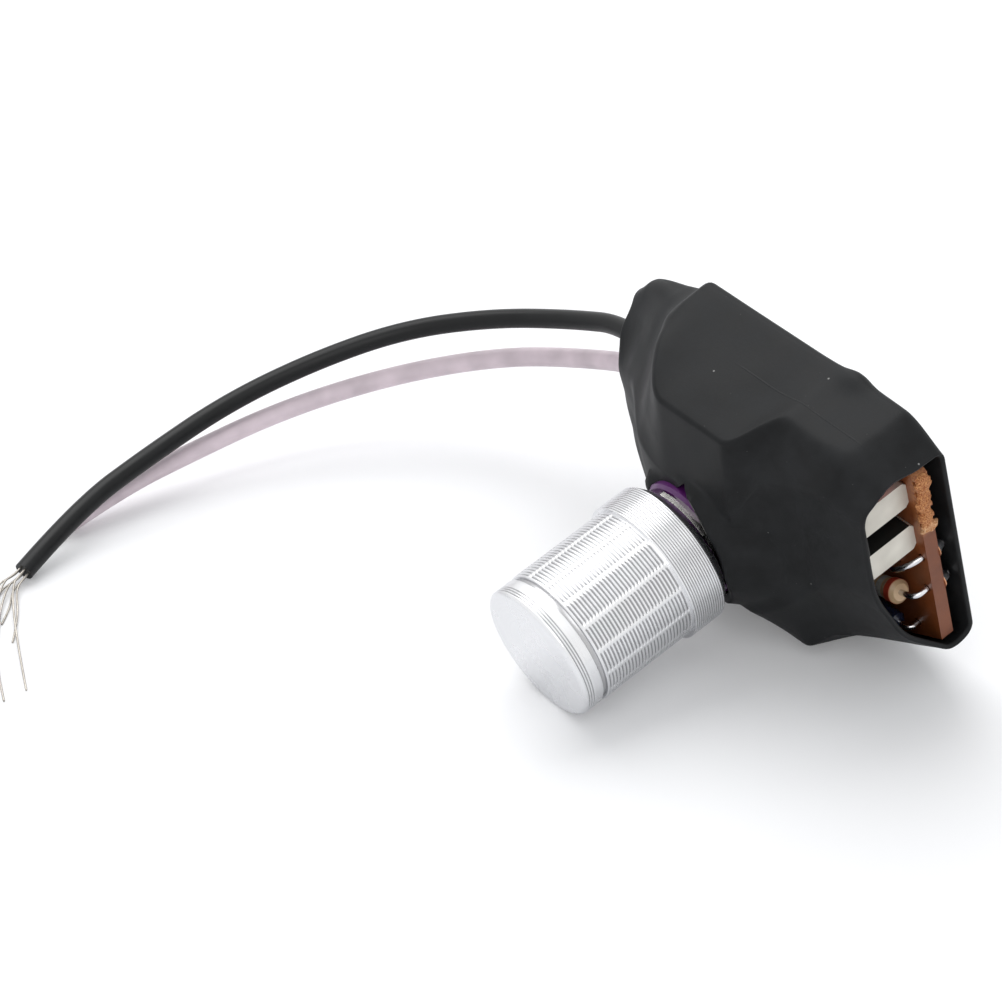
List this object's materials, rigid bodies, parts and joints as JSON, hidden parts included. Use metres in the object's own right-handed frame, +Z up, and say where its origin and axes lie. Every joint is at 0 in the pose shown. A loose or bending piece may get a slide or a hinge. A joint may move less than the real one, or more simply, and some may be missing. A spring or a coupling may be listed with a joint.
{
  "type": "rotary cord dimmer",
  "caption": "Dimmer module in a black shrink sleeve with an aluminium knob and bare-ended hook-up wires.",
  "frame": {"origin": "middle of the module's bounding box without the wires, on the table", "axes": "+X along the sleeve from the wires to the open mouth, -Y towards the knob, +Z up"},
  "size_m": [0.0713, 0.0717, 0.0312],
  "materials": {
    "sleeve_skin": "satin black shrink sleeve",
    "knob_metal": "turned and satin",
    "board": "brown phenolic board",
    "copper": "tarnished copper",
    "solder": "dull solder",
    "heat_sink_metal": "matte",
    "steel": "plated",
    "nickel": "nickel plated",
    "lead_wire": "tinned",
    "black_epoxy": "moulded",
    "box_yellow": "moulded",
    "filter_red": "moulded",
    "dipped_red": "dipped",
    "resistor_lacquer": "lacquer with bands",
    "diac_glass": "lacquered glass",
    "violet_plastic": "moulded",
    "wafer_paper": "phenolic paper",
    "carbon": "printed carbon",
    "bush_brass": "machined",
    "rotor_plastic": "moulded",
    "wiper_brass": "stamped",
    "wire_black": "wire insulation",
    "wire_white": "wire insulation",
    "tinned_copper": "tinned strands"
  },
  "bodies": {
    "module": {"sleeve": "sleeve_skin", "circuit_board": "board", "copper_tracks": "copper", "solder_joints": "solder", "heat_sink": "heat_sink_metal", "heat_sink_screw": "steel", "triac_body": "black_epoxy", "triac_leads": "lead_wire", "box_capacitor_body": "box_yellow", "box_capacitor_leads": "lead_wire", "filter_capacitor_body": "filter_red", "filter_capacitor_leads": "lead_wire", "dipped_capacitor_body": "dipped_red", "dipped_capacitor_leads": "lead_wire", "resistor_1_body": "resistor_lacquer", "resistor_1_leads": "lead_wire", "resistor_2_body": "resistor_lacquer", "resistor_2_leads": "lead_wire", "diac_body": "diac_glass", "diac_leads": "lead_wire", "jumper_wire": "lead_wire", "wire_tails": "tinned_copper", "pot_housing": "violet_plastic", "pot_wafer": "wafer_paper", "pot_track": "carbon", "pot_terminals": "nickel", "pot_bush": "bush_brass", "pot_nut": "nickel", "black_wire": "wire_black", "white_wire": "wire_white", "black_wire_strands": "tinned_copper", "white_wire_strands": "tinned_copper"},
    "knob_and_shaft": {"knob": "knob_metal", "pot_shaft": "knob_metal", "pot_rotor": "rotor_plastic", "pot_wiper": "wiper_brass", "pot_retaining_ring": "steel"}
  },
  "joints": [
    {"name": "knob_turn", "type": "hinge", "parent": "module", "child": "knob_and_shaft", "pos_m": [-0.00125, 0.01154, 0.01403], "axis": [0, -0.9641, -0.2654], "range_deg": [-150, 150]}
  ]
}
